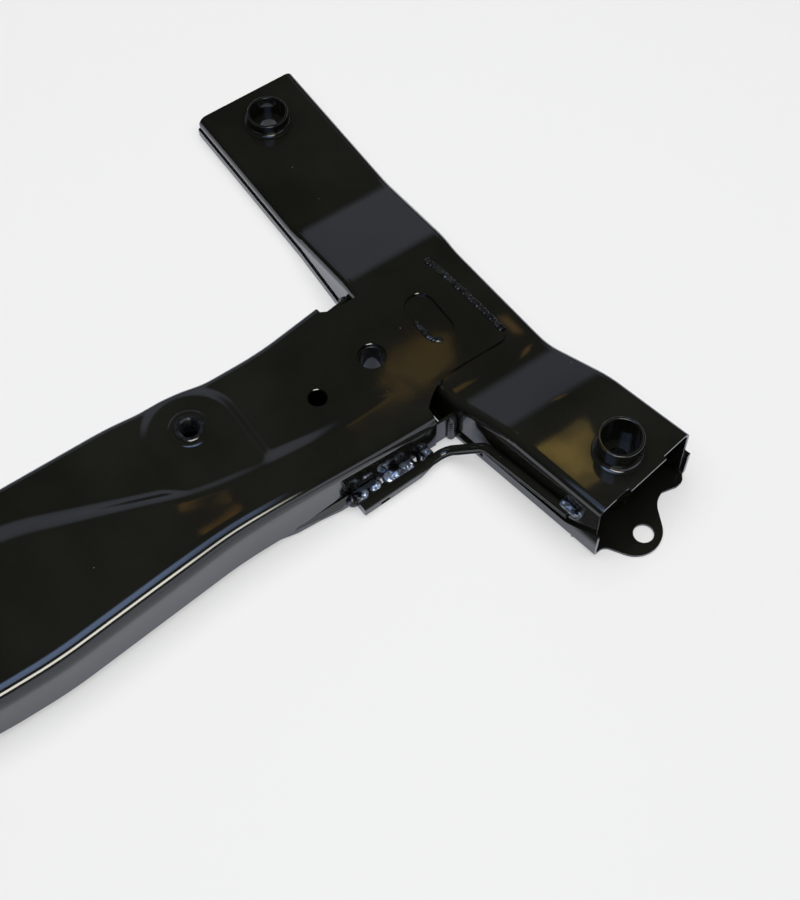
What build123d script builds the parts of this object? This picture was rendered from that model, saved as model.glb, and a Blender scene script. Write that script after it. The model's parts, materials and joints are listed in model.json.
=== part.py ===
from build123d import *
import os
from math import cos, radians, sin

os.makedirs("parts", exist_ok=True)

# Front subframe: two hollow side rails joined by a pressed cross member.
# Millimetres. X runs across the vehicle, Y towards the rear, Z up; X = 0 is the centre plane and the
# rails stand on Z = 0. Everything is modelled on the right (+X) and mirrored.

# Sheet metal
sheet = 2.3
fold = 7.0
tray_fold = 5.0
running_gap = 0.3
reach = 700.0

# Half the length of the cross member's walls; the rails stand outside it
half_length = 335.0

# Side rail: where the box bends in plan, with its centre line and outside width there
rail_rear_y = 252.0
rail_front_y = -221.5
rail_bend_rear_y = 105.0
rail_bend_waist_y = 18.0
rail_bend_neck_y = -86.0
rail_out_rear = 59.5
rail_centre_rear = half_length + rail_out_rear
rail_out_waist = 55.5
rail_centre_waist = half_length + rail_out_waist
rail_out_neck = 61.3
rail_centre_neck = half_length + rail_out_neck
rail_out_front = 88.0
rail_centre_front = half_length + rail_out_front
rail_width_rear = 89.0
rail_width_waist = 88.0
rail_width_neck = 88.5
rail_width_front = 92.5
rail_plan_radius = 140.0
rail_splay = 9.4

# Side rail: heights of the top, and where its two ramps start and end
rail_height_front = 58.0
rail_height_waist = 42.0
rail_height_rear = 20.0
front_ramp_front_y = -142.0
front_ramp_rear_y = -90.0
rear_ramp_front_y = 36.0
rear_ramp_rear_y = 114.0
ramp_radius = 70.0
rail_wall_bottom = 6.0

# Lower tray of the rail, with the ear at its front end
tray_height_low = 8.0
tray_height = 14.0
tray_height_front = 28.0
tray_drop_back = 108.0
tray_rise_length = 24.0
tray_rise_start = 4.0
tray_rise_radius = 10.0
tray_overhang = 0.6
tab_half_width = 18.0
tab_reach = 2.6
ear_inward = 8.3
ear_x = rail_centre_front - ear_inward
ear_y = -236.0
ear_hole = 15.0
nose_inward = 3.7
nose_x = ear_x - nose_inward
nose_back = 6.2
nose_y = ear_y + nose_back
nose_radius = 20.5
nose_inner_side = 213.0
nose_outer_side = 334.5
nose_inner_blend = 7.0
nose_outer_blend = 18.0
lobe_start = 24.0
lobe_crest_start = 35.0
lobe_crest_end = 41.0
lobe_ahead = 4.4
lobe_radius = 5.0

# Cross member: walls in plan
near_wall_y = -95.5
near_wall_centre_y = -110.5
near_bend_outer_in = 165.0
near_bend_outer_x = half_length - near_bend_outer_in
near_bend_inner_x = 25.0
near_bend_radius = 350.0
far_wall_y = 34.0
far_wall_short = 17.5
far_wall_end_x = half_length - far_wall_short
far_waist_y = 26.0
far_waist_outer_in = 73.0
far_waist_outer_x = half_length - far_waist_outer_in
far_waist_run = 48.0
far_waist_inner_x = far_waist_outer_x - far_waist_run
far_bend_run = 74.0
far_bend_x = far_waist_inner_x - far_bend_run
far_bend_radius = 250.0
near_wall_bottom = 7.0
near_fold = 10.0
floor_wall_height = 30.0
floor_fold = 6.0
lip_start_in = 159.0
lip_start_x = half_length - lip_start_in
lip_bend_in = 85.0
lip_bend_x = half_length - lip_bend_in
lip_crest_in = 77.0
lip_crest_x = half_length - lip_crest_in
lip_end_in = 55.0
lip_end_x = half_length - lip_end_in
lip_start_inset = 5.3
lip_stand = 1.2
lip_height_start = 4.0
lip_height_crest = 12.0
lip_height_end = 13.5
lip_fold = 3.5

# Raised field of the cross member's top, ended by a long curved step
field_rise = 6.7
field_fade_start_in = 150.0
field_fade_start_x = half_length - field_fade_start_in
field_fade_end_in = 5.0
field_fade_end_x = half_length - field_fade_end_in
step_taper = 60.0
step_centre_y = 8.0
step_centre_x = 35.0
step_middle_in = 170.0
step_middle_x = half_length - step_middle_in
step_middle_y = -41.0
step_outer_in = 80.0
step_outer_x = half_length - step_outer_in
step_outer_y = -55.0
step_end_out = 15.0
step_end_x = half_length + step_end_out
step_end_y = -59.0
step_radius = 160.0

# D-shaped pad around the nut
pad_in = 148.0
pad_x = half_length - pad_in
pad_y = -7.0
pad_radius = 38.0
pad_rise = 4.5
pad_taper = 57.0
boss = 28.7
boss_rise = 0.8

# Lap plate over the rail
lap_rear_y = 23.5
lap_front_y = -69.0
lap_middle_y = -22.0
lap_out_rear = 72.0
lap_outer_rear_x = half_length + lap_out_rear
lap_out_middle = 78.5
lap_outer_middle_x = half_length + lap_out_middle
lap_out_front = 82.0
lap_outer_front_x = half_length + lap_out_front
lap_corner = 5.0
notch_run = 7.5
notch_depth = 1.9
throat_run = 35.0
throat_middle_run = 13.0
throat_middle_depth = 10.0

# Holes of the cross member's top, and the tube under the largest
spacer_hole_in = 8.0
spacer_hole_x = half_length - spacer_hole_in
spacer_hole_y = -26.0
spacer_hole = 21.0
spacer_outer = 26.0
spacer_bore = 18.5
relief_hole_in = 59.5
relief_hole_x = half_length - relief_hole_in
relief_hole_y = -33.0
relief_hole = 14.0
slot_out = 45.5
slot_x = half_length + slot_out
slot_y = lap_middle_y
slot_length = 46.0
slot_width = 23.0

# Pad nut
nut_inward = 0.5
nut_back = 2.0
nut_x = pad_x - nut_inward
nut_y = pad_y + nut_back
nut_body = 22.0
nut_bore = 14.0
nut_depth = 17.0
nut_lip = 0.9

# Mount sleeves
front_sleeve_inward = 5.7
front_sleeve_x = rail_centre_front - front_sleeve_inward
front_sleeve_y = -195.2
rear_sleeve_y = 218.0
sleeve_outer = 32.5
sleeve_bore = 28.0
sleeve_foot = 39.0
sleeve_foot_height = 6.0
sleeve_foot_lip = 0.8
sleeve_rim_round = 0.9
sleeve_stand_front = 20.0
sleeve_stand_rear = 12.0
seat_depth_front = 28.0
seat_depth_rear = 18.0
bolt_hole = 15.0
floor_hole = 17.0

# Brace rod
rod = 7.6
rod_bend = 12.0
rod_clearance = 0.2
rod_neck = 14.0
rod_bead = 4.2
bar_width = 11.0
bar_height = 9.0
bar_length = 50.0
bar_tip_in = 73.0
bar_tip_x = half_length - bar_tip_in
bar_tip_y = -106.0
bar_slot_in = 18.0
bar_slot_x = bar_tip_x + bar_slot_in
bar_slot_length = 8.0
bar_slot_width = 3.6
rod_foot_out = 3.0
rod_foot_x = half_length + rod_foot_out
rod_foot_y = -103.5
rod_foot_z = 7.0
rod_knee_y = -127.0
rod_knee_z = 28.0
rod_tip_y = -205.0
rod_tip_z = 33.0

# Welds. A brace bead is its start along the bar, its length and its radius.
brace_beads = ((-2.0, 7.0, 5.6), (16.0, 2.0, 4.4), (29.0, 18.0, 5.0), (58.0, 5.0, 4.4))
brace_bead_sink = 0.5
brace_bead_inward = 1.5
tip_bead_back = 7.0
tip_bead_front = 4.0
tip_bead_lift = 2.5
tip_bead_inward = 2.5
bead = 4.6
bead_rise = 1.1
bead_lap = 1.5
joint_bead = 4.0
joint_bead_low = 5.0
joint_bead_high = 26.0
slot_bead = 3.0

top = rail_height_waist + sheet
splay = radians(rail_splay)
far_slope = (far_wall_y - far_waist_y) / (far_wall_end_x - far_waist_outer_x)


def rail_plan(ahead, behind, grow, height):
    """Plan of the rail's box at a height, longer ahead and behind and with its walls moved out by grow."""
    walls = []
    with BuildSketch(Plane.XY.offset(height)) as plan:
        with BuildLine():
            for side in (-1, 1):
                neck = Vector(rail_centre_neck + side * (rail_width_neck / 2 + grow), rail_bend_neck_y)
                across = side * (rail_width_front / 2 + grow)
                end = Vector(rail_centre_front + across * cos(splay), rail_front_y + across * sin(splay))
                end += (end - neck).normalized() * ahead
                rear_x = rail_centre_rear + side * (rail_width_rear / 2 + grow)
                walls.append(FilletPolyline(
                    (rear_x, rail_rear_y + behind),
                    (rear_x, rail_bend_rear_y),
                    (rail_centre_waist + side * (rail_width_waist / 2 + grow), rail_bend_waist_y),
                    (neck.X, neck.Y),
                    (end.X, end.Y),
                    radius=rail_plan_radius,
                ))
            Line(walls[0] @ 0, walls[1] @ 0)
            Line(walls[0] @ 1, walls[1] @ 1)
        make_face()
    return plan.sketch


def side_edges(body, low, high):
    """Edges along the rail's side walls between two heights."""
    walls = body.faces().filter_by(lambda face: abs(face.normal_at().Z) < 0.1 and abs(face.normal_at().X) > 0.5)
    edges = ShapeList(edge for wall in walls for edge in wall.edges() if abs((edge % 0.5).Z) < 0.9)
    return edges.filter_by(lambda edge: low < edge.center().Z < high)


def rail_form(inset, extra, bottom):
    """Inverted channel: the rail's outside at inset 0, its hollow at inset sheet."""
    with BuildPart() as form:
        add(rail_plan(extra, extra, -inset, bottom))
        extrude(amount=2 * rail_height_front)
        with BuildSketch(Plane.YZ):
            with BuildLine():
                crest = FilletPolyline(
                    (-reach, rail_height_front - inset),
                    (front_ramp_front_y, rail_height_front - inset),
                    (front_ramp_rear_y, rail_height_waist - inset),
                    (rear_ramp_front_y, rail_height_waist - inset),
                    (rear_ramp_rear_y, rail_height_rear - inset),
                    (reach, rail_height_rear - inset),
                    radius=ramp_radius,
                )
                Polyline(crest @ 1, (reach, -reach), (-reach, -reach), crest @ 0)
            make_face()
        extrude(amount=reach, mode=Mode.INTERSECT)
        fillet(side_edges(form, bottom + 1, reach), fold - inset)
    return form.part


def tray_form(ahead, behind, grow, bottom):
    """Block with rounded lower edges: the tray's outside at grow sheet, its hollow at grow 0."""
    with BuildPart() as form:
        add(rail_plan(ahead, behind, grow, bottom))
        extrude(amount=rail_height_front)
        fillet(side_edges(form, bottom - 1, bottom + 1), tray_fold - sheet + grow)
    return form.part


# Plan of the rail's mouth: X across it, Y back along its splayed centre line
mouth = Plane(origin=(rail_centre_front, rail_front_y, 0), x_dir=(cos(splay), sin(splay), 0), z_dir=(0, 0, 1))

rail_outside = rail_form(0, 0, rail_wall_bottom)
rail_hollow = rail_form(sheet, 60, -sheet)
tray_outside = tray_form(tray_overhang, 0, sheet, 0)
tray_hollow = tray_form(60, 60, 0, sheet)

with BuildPart() as rail_upper_shell:
    add(rail_outside)
    add(rail_hollow, mode=Mode.SUBTRACT)
    with Locations((front_sleeve_x, front_sleeve_y, rail_height_front)):
        Cylinder(sleeve_outer / 2, 4 * sheet, mode=Mode.SUBTRACT)
    with Locations((rail_centre_rear, rear_sleeve_y, rail_height_rear)):
        Cylinder(sleeve_outer / 2, 4 * sheet, mode=Mode.SUBTRACT)
    # The front edge is cut back on both sides of a middle tab.
    with BuildSketch(mouth.offset(-sheet)):
        for side in (-1, 1):
            with Locations((side * (tab_half_width + rail_width_front / 2), 0)):
                Rectangle(rail_width_front, 2 * tab_reach)
    extrude(amount=2 * rail_height_front, mode=Mode.SUBTRACT)

# The tray's flanges are lowest beside the cross member, higher along the front arm, and rise again at
# the front end, where they stand a little ahead of the floor. The side view is drawn along the splayed
# front of the rail.
tray_side = Plane(
    origin=(rail_centre_front, rail_front_y, 0),
    x_dir=(-sin(splay), cos(splay), 0),
    z_dir=(cos(splay), sin(splay), 0),
)

with BuildPart() as rail_lower_shell:
    add(tray_outside)
    add(tray_hollow, mode=Mode.SUBTRACT)
    with BuildSketch(tray_side.offset(-reach / 2)):
        with BuildLine():
            rim = FilletPolyline(
                (-tray_overhang, tray_height_front),
                (tray_rise_start, tray_height_front),
                (tray_rise_start + tray_rise_length, tray_height),
                (tray_drop_back, tray_height),
                radius=tray_rise_radius,
            )
            Polyline(
                rim @ 1,
                (tray_drop_back, tray_height_low),
                (reach, tray_height_low),
                (reach, -reach),
                (0, -reach),
                (0, sheet),
                rim @ 0,
            )
        make_face()
    extrude(amount=reach, mode=Mode.INTERSECT)
    with BuildSketch():
        with BuildLine():
            nose = CenterArc((nose_x, nose_y), nose_radius, nose_inner_side, nose_outer_side - nose_inner_side)
            inner_side = PolarLine(nose @ 0, 40, nose_inner_side - 90)
            outer_side = PolarLine(nose @ 1, 40, nose_outer_side + 90)
            Line(inner_side @ 1, outer_side @ 1)
        make_face()
    extrude(amount=sheet)
    corners = rail_lower_shell.edges().filter_by(Axis.Z).filter_by(
        lambda edge: edge.length < 1.01 * sheet and abs(edge.center().Y - rail_front_y) < 12
        and abs(edge.center().X - nose_x) < 1.5 * nose_radius
    )
    fillet(corners.sort_by(Axis.X)[0], nose_inner_blend)
    corners = rail_lower_shell.edges().filter_by(Axis.Z).filter_by(
        lambda edge: edge.length < 1.01 * sheet and abs(edge.center().Y - rail_front_y) < 12
        and abs(edge.center().X - nose_x) < 1.5 * nose_radius
    )
    fillet(corners.sort_by(Axis.X)[-1], nose_outer_blend)
    # Outside the ear the floor bulges ahead a little before it turns up into the flange.
    with BuildSketch(mouth):
        with BuildLine():
            lobe = FilletPolyline(
                (lobe_start, 0),
                (lobe_crest_start, -lobe_ahead),
                (lobe_crest_end, -lobe_ahead),
                (lobe_crest_end + lobe_ahead, 0),
                radius=lobe_radius,
            )
            Polyline(lobe @ 1, (lobe_crest_end, sheet), (lobe_start, sheet), lobe @ 0)
        make_face()
    extrude(amount=sheet)
    with Locations((ear_x, ear_y, 0)):
        Cylinder(ear_hole / 2, 4 * sheet, mode=Mode.SUBTRACT)
    with Locations((front_sleeve_x, front_sleeve_y, 0), (rail_centre_rear, rear_sleeve_y, 0)):
        Cylinder(floor_hole / 2, 4 * sheet, mode=Mode.SUBTRACT)


def sleeve(x, y, rail_height, stand, seat_depth):
    """Collar from the tray's floor through the rail's top, bored down to a bolt seat."""
    rim = rail_height + stand
    with BuildPart() as collar:
        with BuildSketch(Plane.XZ.offset(-y)):
            with BuildLine():
                foot = ThreePointArc(
                    (x + sleeve_foot / 2, rail_height + sleeve_foot_lip),
                    (x + sleeve_outer / 2 + sleeve_foot_lip, rail_height + sleeve_foot_height / 3),
                    (x + sleeve_outer / 2, rail_height + sleeve_foot_height),
                )
                Polyline(
                    foot @ 1,
                    (x + sleeve_outer / 2, rim),
                    (x + sleeve_bore / 2, rim),
                    (x + sleeve_bore / 2, rim - seat_depth),
                    (x + bolt_hole / 2, rim - seat_depth),
                    (x + bolt_hole / 2, sheet),
                    (x + sleeve_outer / 2, sheet),
                    (x + sleeve_outer / 2, rail_height),
                    (x + sleeve_foot / 2, rail_height),
                    foot @ 0,
                )
            make_face()
        revolve(axis=Axis((x, y, 0), (0, 0, 1)))
        rim_edges = collar.edges().filter_by(GeomType.CIRCLE).filter_by(lambda edge: edge.center().Z > rim - 1)
        fillet(rim_edges, sleeve_rim_round)
    return collar.part


front_collar = sleeve(front_sleeve_x, front_sleeve_y, rail_height_front, sleeve_stand_front, seat_depth_front)
rear_collar = sleeve(rail_centre_rear, rear_sleeve_y, rail_height_rear, sleeve_stand_rear, seat_depth_rear)

with BuildPart() as front_mount_sleeve:
    add(front_collar)

with BuildPart() as rear_mount_sleeve:
    add(rear_collar)


def cross_plan(inset, extra, height):
    """Right half of the cross member in plan, walls moved in by inset and both ends longer by extra."""
    with BuildSketch(Plane.XY.offset(height)) as plan:
        with BuildLine():
            near = FilletPolyline(
                (half_length + extra, near_wall_y + inset),
                (near_bend_outer_x, near_wall_y + inset),
                (near_bend_inner_x, near_wall_centre_y + inset),
                (-extra, near_wall_centre_y + inset),
                radius=near_bend_radius,
            )
            far = FilletPolyline(
                (far_wall_end_x + extra, far_wall_y + far_slope * extra - inset),
                (far_waist_outer_x, far_waist_y - inset),
                (far_waist_inner_x, far_waist_y - inset),
                (far_bend_x, far_wall_y - inset),
                (-extra, far_wall_y - inset),
                radius=far_bend_radius,
            )
            Line(near @ 0, far @ 0)
            Line(near @ 1, far @ 1)
        make_face()
    return plan.sketch


def wall_edges(body, side, low, high):
    """Edges along one wall of the cross member between two heights; side is -1 near, +1 far."""
    walls = body.faces().filter_by(
        lambda face: abs(face.normal_at().Z) < 0.05 and face.normal_at().Y * side > 0.5
    )
    edges = ShapeList(edge for wall in walls for edge in wall.edges() if abs((edge % 0.5).Z) < 0.9)
    return edges.filter_by(lambda edge: low < edge.center().Z < high)


def cross_form(inset, extra, bottom):
    """Right half of the pressed top: its outside at inset 0, its hollow at inset sheet."""
    level = top - inset
    with BuildPart() as form:
        add(cross_plan(inset, extra, bottom))
        extrude(amount=2 * top)
        with BuildSketch(Plane.XZ.offset(-reach / 2)):
            with BuildLine():
                Polyline(
                    (-reach, level + field_rise),
                    (field_fade_start_x, level + field_rise),
                    (field_fade_end_x, level),
                    (reach, level),
                    (reach, -reach),
                    (-reach, -reach),
                    close=True,
                )
            make_face()
        extrude(amount=reach, mode=Mode.INTERSECT)
        fillet(wall_edges(form, -1, bottom + 1, reach), near_fold - inset)
        with BuildSketch(Plane.XY.offset(level)):
            with BuildLine():
                foot = FilletPolyline(
                    (-extra - pad_radius, step_centre_y),
                    (step_centre_x, step_centre_y),
                    (step_middle_x, step_middle_y),
                    (step_outer_x, step_outer_y),
                    (step_end_x + extra, step_end_y),
                    radius=step_radius,
                )
                Polyline(foot @ 1, (step_end_x + extra, reach), (-extra - pad_radius, reach), foot @ 0)
            make_face()
        extrude(amount=field_rise + 1, taper=-step_taper, mode=Mode.SUBTRACT)
    with BuildPart() as pad:
        with BuildSketch(Plane.XY.offset(level)):
            with Locations((pad_x, pad_y)):
                Circle(pad_radius)
            with Locations((pad_x, pad_y - pad_radius)):
                Rectangle(2 * pad_radius, 2 * pad_radius)
        extrude(amount=pad_rise, taper=pad_taper)
        add(cross_plan(inset, extra, level - 1))
        extrude(amount=2 * pad_rise, mode=Mode.INTERSECT)
        with Locations((nut_x, nut_y, level + pad_rise)):
            Cylinder(boss / 2, boss_rise, align=(Align.CENTER, Align.CENTER, Align.MIN))
    with BuildPart() as whole:
        add(form.part)
        add(pad.part)
        fillet(wall_edges(whole, 1, bottom + 1, reach), fold - inset)
    return whole.part


cross_outside = cross_form(0, 0, near_wall_bottom)
cross_hollow = cross_form(sheet, 40, -sheet)

with BuildPart() as lap_plate:
    with BuildSketch(Plane.XY.offset(rail_height_waist)):
        with BuildLine():
            notch = ThreePointArc(
                (far_wall_end_x + running_gap, far_wall_y - fold + notch_depth),
                (far_wall_end_x + notch_run / 3, lap_rear_y + notch_depth),
                (far_wall_end_x + notch_run, lap_rear_y),
            )
            rear_edge = Line(notch @ 1, (lap_outer_rear_x, lap_rear_y))
            outer_edge = ThreePointArc(
                rear_edge @ 1,
                (lap_outer_middle_x, lap_middle_y),
                (lap_outer_front_x, lap_front_y),
            )
            front_edge = Line(outer_edge @ 1, (half_length + throat_run, lap_front_y))
            throat = ThreePointArc(
                front_edge @ 1,
                (half_length + throat_middle_run, lap_front_y - throat_middle_depth),
                (half_length + 1, near_wall_y + near_fold - sheet),
            )
            Polyline(
                throat @ 1,
                (half_length - 2, near_wall_y + near_fold),
                (far_wall_end_x - 1, far_wall_y - fold),
                notch @ 0,
            )
        make_face()
    extrude(amount=sheet)
    corner = lap_plate.edges().filter_by(Axis.Z).sort_by(Axis.X)[-1]
    fillet(corner, lap_corner)

with BuildPart() as cross_half:
    add(cross_outside)
    add(cross_hollow, mode=Mode.SUBTRACT)
    add(lap_plate.part)
    with Locations((spacer_hole_x, spacer_hole_y, top)):
        Cylinder(spacer_hole / 2, 6 * sheet, mode=Mode.SUBTRACT)
    with Locations((relief_hole_x, relief_hole_y, top)):
        Cylinder(relief_hole / 2, 6 * sheet, mode=Mode.SUBTRACT)
    with Locations((nut_x, nut_y, top + pad_rise)):
        Cylinder(nut_body / 2, 6 * sheet, mode=Mode.SUBTRACT)
    with BuildSketch(Plane.XY.offset(top - 3 * sheet)):
        with Locations((slot_x, slot_y)):
            SlotOverall(slot_length, slot_width, rotation=90)
    extrude(amount=6 * sheet, mode=Mode.SUBTRACT)
    split(bisect_by=Plane.YZ, keep=Keep.TOP)

with BuildPart() as crossmember_upper_shell:
    add(cross_half.part)
    mirror(about=Plane.YZ)

# The closing channel nests between the walls of the pressed top and runs on to the rails.
with BuildPart() as channel_half:
    add(cross_plan(sheet, 40, 0))
    extrude(amount=floor_wall_height)
    fillet(wall_edges(channel_half, -1, -1, 1) + wall_edges(channel_half, 1, -1, 1), floor_fold)
with BuildPart() as channel_hollow:
    add(cross_plan(2 * sheet, 60, sheet))
    extrude(amount=floor_wall_height)
    fillet(wall_edges(channel_hollow, -1, 1, 3) + wall_edges(channel_hollow, 1, 1, 3), floor_fold - sheet)
with BuildPart() as rail_clearance:
    add(rail_plan(0, 0, sheet, -10))
    extrude(amount=10 + tray_height_low + running_gap)
    add(rail_plan(0, 0, 0, -10))
    extrude(amount=2 * rail_height_waist)

# Toward the rails its floor spreads out under the near wall and turns up outside it as a rising lip.
lip_y = near_wall_y - running_gap - lip_stand - sheet
lip_start_y = near_wall_y + lip_start_inset
lip_root_y = lip_start_y + floor_fold
lip_height_bend = near_wall_bottom - 2 * running_gap


def lip_plan(inset, level):
    """Plan of the spreading floor at one level, with its outer line moved in by the inset."""
    with BuildSketch(Plane.XY.offset(level)) as plan:
        Polygon(
            (lip_start_x - inset, lip_start_y + inset),
            (lip_bend_x, lip_y + inset),
            (lip_end_x + inset, lip_y + inset),
            (lip_end_x + inset, lip_root_y + 2 * inset),
            (lip_start_x - inset, lip_root_y + 2 * inset),
            align=None,
        )
    return plan.sketch


with BuildPart() as near_lip:
    add(lip_plan(0, 0))
    extrude(amount=lip_height_end)
    fillet(near_lip.faces().sort_by(Axis.Z)[0].edges().filter_by(lambda edge: edge.center().Y < lip_start_y), lip_fold)
    add(lip_plan(sheet, sheet))
    extrude(amount=lip_height_end, mode=Mode.SUBTRACT)
    with BuildSketch(Plane.XZ.offset(-lip_root_y)):
        Polygon(
            (lip_start_x - 1, lip_height_start),
            (lip_bend_x, lip_height_bend),
            (lip_crest_x, lip_height_crest),
            (lip_end_x, lip_height_end),
            (lip_end_x, 2 * lip_height_end),
            (lip_start_x - 1, 2 * lip_height_end),
            align=None,
        )
    extrude(amount=2 * floor_fold + lip_height_end, mode=Mode.SUBTRACT)

with BuildPart() as crossmember_lower_shell:
    add(channel_half.part)
    add(channel_hollow.part, mode=Mode.SUBTRACT)
    add(near_lip.part)
    add(rail_clearance.part, mode=Mode.SUBTRACT)
    with Locations((spacer_hole_x, spacer_hole_y, 0)):
        Cylinder(spacer_bore / 2, 4 * sheet, mode=Mode.SUBTRACT)
    split(bisect_by=Plane.YZ, keep=Keep.TOP)
    mirror(about=Plane.YZ)

# What lies within the shells' outer faces, taken off the beads that sit against them
with BuildPart() as rail_inside:
    add(rail_outside)
    add(rail_plan(0, 0, 0, 0))
    extrude(amount=2 * rail_wall_bottom)
with BuildPart() as cross_inside:
    add(cross_plan(sheet, 40, -1))
    extrude(amount=floor_wall_height + 1)
    add(cross_outside)

with BuildPart() as threaded_insert:
    with Locations((nut_x, nut_y, top + pad_rise + boss_rise + nut_lip)):
        Cylinder(nut_body / 2, nut_depth, align=(Align.CENTER, Align.CENTER, Align.MAX))
        Cylinder(nut_bore / 2, 3 * nut_depth, mode=Mode.SUBTRACT)
    mouths = threaded_insert.edges().filter_by(GeomType.CIRCLE).group_by(Axis.Z)[-1]
    chamfer(mouths.sort_by(SortBy.RADIUS)[0], 1.2)
    chamfer(mouths.sort_by(SortBy.RADIUS)[-1], 0.6)

with BuildPart() as spacer_tube:
    with Locations((spacer_hole_x, spacer_hole_y, sheet)):
        Cylinder(spacer_outer / 2, rail_height_waist - sheet, align=(Align.CENTER, Align.CENTER, Align.MIN))
        Cylinder(spacer_bore / 2, 3 * rail_height_waist, mode=Mode.SUBTRACT)

# Brace rod: flattened along the cross member's foot, then round, rising along the rail's inner wall.
neck_x = rail_centre_neck - rail_width_neck / 2
wall_end_x = rail_centre_front - rail_width_front / 2 * cos(splay)
wall_end_y = rail_front_y - rail_width_front / 2 * sin(splay)
wall_slope = (wall_end_x - neck_x) / (wall_end_y - rail_bend_neck_y)
stand_off = (rod / 2 + rod_clearance) / cos(splay)
rod_knee_x = neck_x + (rod_knee_y - rail_bend_neck_y) * wall_slope - stand_off
rod_tip_x = neck_x + (rod_tip_y - rail_bend_neck_y) * wall_slope - stand_off
bar_tip = Vector(bar_tip_x, bar_tip_y, bar_height / 2 + running_gap)
rod_foot = Vector(rod_foot_x, rod_foot_y, rod_foot_z)
bar_direction = (rod_foot - bar_tip).normalized()

with BuildPart() as brace_rod:
    with BuildLine():
        rod_line = FilletPolyline(
            tuple(rod_foot - bar_direction * rod_neck),
            tuple(rod_foot),
            (rod_knee_x, rod_knee_y, rod_knee_z),
            (rod_tip_x, rod_tip_y, rod_tip_z),
            radius=rod_bend,
        )
    with BuildSketch(Plane(origin=rod_line @ 0, z_dir=rod_line % 0)):
        Circle(rod / 2)
    sweep()
    with BuildSketch(Plane(origin=bar_tip, x_dir=(0, -1, 0), z_dir=bar_direction)):
        RectangleRounded(bar_width, bar_height, 1.8)
    extrude(amount=bar_length)
    with BuildSketch(Plane(origin=bar_tip + bar_direction * bar_length, x_dir=(0, -1, 0), z_dir=bar_direction)):
        RectangleRounded(bar_width, bar_height, 1.8)
    with BuildSketch(Plane(origin=rod_line @ 0, x_dir=(0, -1, 0), z_dir=bar_direction)):
        Circle(rod / 2)
    loft()
    with BuildSketch(Plane.XZ.offset(-bar_tip_y)):
        with Locations((bar_slot_x, bar_height / 2 - 0.8)):
            SlotOverall(bar_slot_length, bar_slot_width)
    extrude(amount=2 * bar_width, mode=Mode.SUBTRACT)


def capsule(start, end, radius):
    """Round-ended bead between two points."""
    run = Vector(end) - Vector(start)
    along = Plane(origin=start, x_dir=run, z_dir=run.cross(Vector(0, 1, 0)))
    with BuildPart() as body:
        with BuildSketch(along):
            with BuildLine():
                near_end = CenterArc((0, 0), radius, 180, -90)
                far_end = CenterArc((run.length, 0), radius, 90, -90)
                Line(near_end @ 1, far_end @ 0)
                Line(near_end @ 0, far_end @ 1)
            make_face()
        revolve(axis=Axis(start, run))
    return body.part


brace_bead_y = bar_tip_y + bar_width / 2 + brace_bead_inward
brace_bead_z = bar_height - brace_bead_sink
brace_capsules = [
    capsule((bar_tip_x + start, brace_bead_y, brace_bead_z), (bar_tip_x + start + run, brace_bead_y, brace_bead_z), radius)
    for start, run, radius in brace_beads
]
tip_bead_slant = wall_slope * (tip_bead_back + tip_bead_front)
tip_bead = capsule(
    (rod_tip_x + tip_bead_inward + tip_bead_slant / 2, rod_tip_y + tip_bead_back, rod_tip_z + tip_bead_lift),
    (rod_tip_x + tip_bead_inward - tip_bead_slant / 2, rod_tip_y - tip_bead_front, rod_tip_z + tip_bead_lift),
    rod_bead,
)
joint_x = neck_x - sheet
far_joint_x = rail_centre_waist - rail_width_waist / 2 - sheet
near_joint_y = near_wall_y + sheet
far_joint_y = far_wall_y + (far_joint_x - far_wall_end_x) * far_slope - sheet
near_joint = capsule((joint_x, near_joint_y, joint_bead_low), (joint_x, near_joint_y, joint_bead_high), joint_bead)
far_joint = capsule(
    (far_joint_x, far_joint_y, joint_bead_low), (far_joint_x, far_joint_y, joint_bead_high), joint_bead
)

with BuildPart() as brace_weld:
    add(brace_capsules)
    for neighbour in (brace_rod, crossmember_upper_shell, crossmember_lower_shell, cross_inside):
        add(neighbour.part, mode=Mode.SUBTRACT)

with BuildPart() as brace_tip_weld:
    add(tip_bead)
    for neighbour in (brace_rod, rail_inside):
        add(neighbour.part, mode=Mode.SUBTRACT)

with BuildPart() as joint_weld:
    add([near_joint, far_joint])
    for neighbour in (rail_inside, rail_lower_shell, cross_inside):
        add(neighbour.part, mode=Mode.SUBTRACT)

# Seam along the lap plate's outer edge, turned about the centre of that edge's arc.
seam = ThreePointArc(
    (lap_outer_rear_x, lap_rear_y, rail_height_waist),
    (lap_outer_middle_x, lap_middle_y, rail_height_waist),
    (lap_outer_front_x, lap_front_y, rail_height_waist),
    mode=Mode.PRIVATE,
).trim(0.02, 0.92)
with BuildPart() as lap_weld:
    with BuildLine():
        add(seam)
    with BuildSketch(Plane(origin=seam @ 0, x_dir=(1, 0, 0), z_dir=seam % 0)):
        with BuildLine():
            bead_face = ThreePointArc((bead, 0), (bead * 0.45, sheet + bead_rise), (-bead_lap, sheet))
            Polyline(bead_face @ 1, (0, sheet), (0, 0), bead_face @ 0)
        make_face()
    sweep()

slot_side_x = slot_x - slot_width / 2 + 1.0
slot_end_y = slot_y - slot_length / 2 + slot_width / 2
with BuildPart() as slot_weld:
    with BuildLine(Plane.XY.offset(rail_height_waist + 0.8)):
        slot_run = Line((slot_side_x, slot_y + 2), (slot_side_x, slot_end_y))
        CenterArc((slot_x, slot_end_y), slot_width / 2 - 1.0, 180, 75)
    with BuildSketch(Plane(origin=slot_run @ 0, z_dir=slot_run % 0)):
        Circle(slot_bead)
    sweep()
    for neighbour in (crossmember_upper_shell, rail_inside):
        add(neighbour.part, mode=Mode.SUBTRACT)

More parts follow.
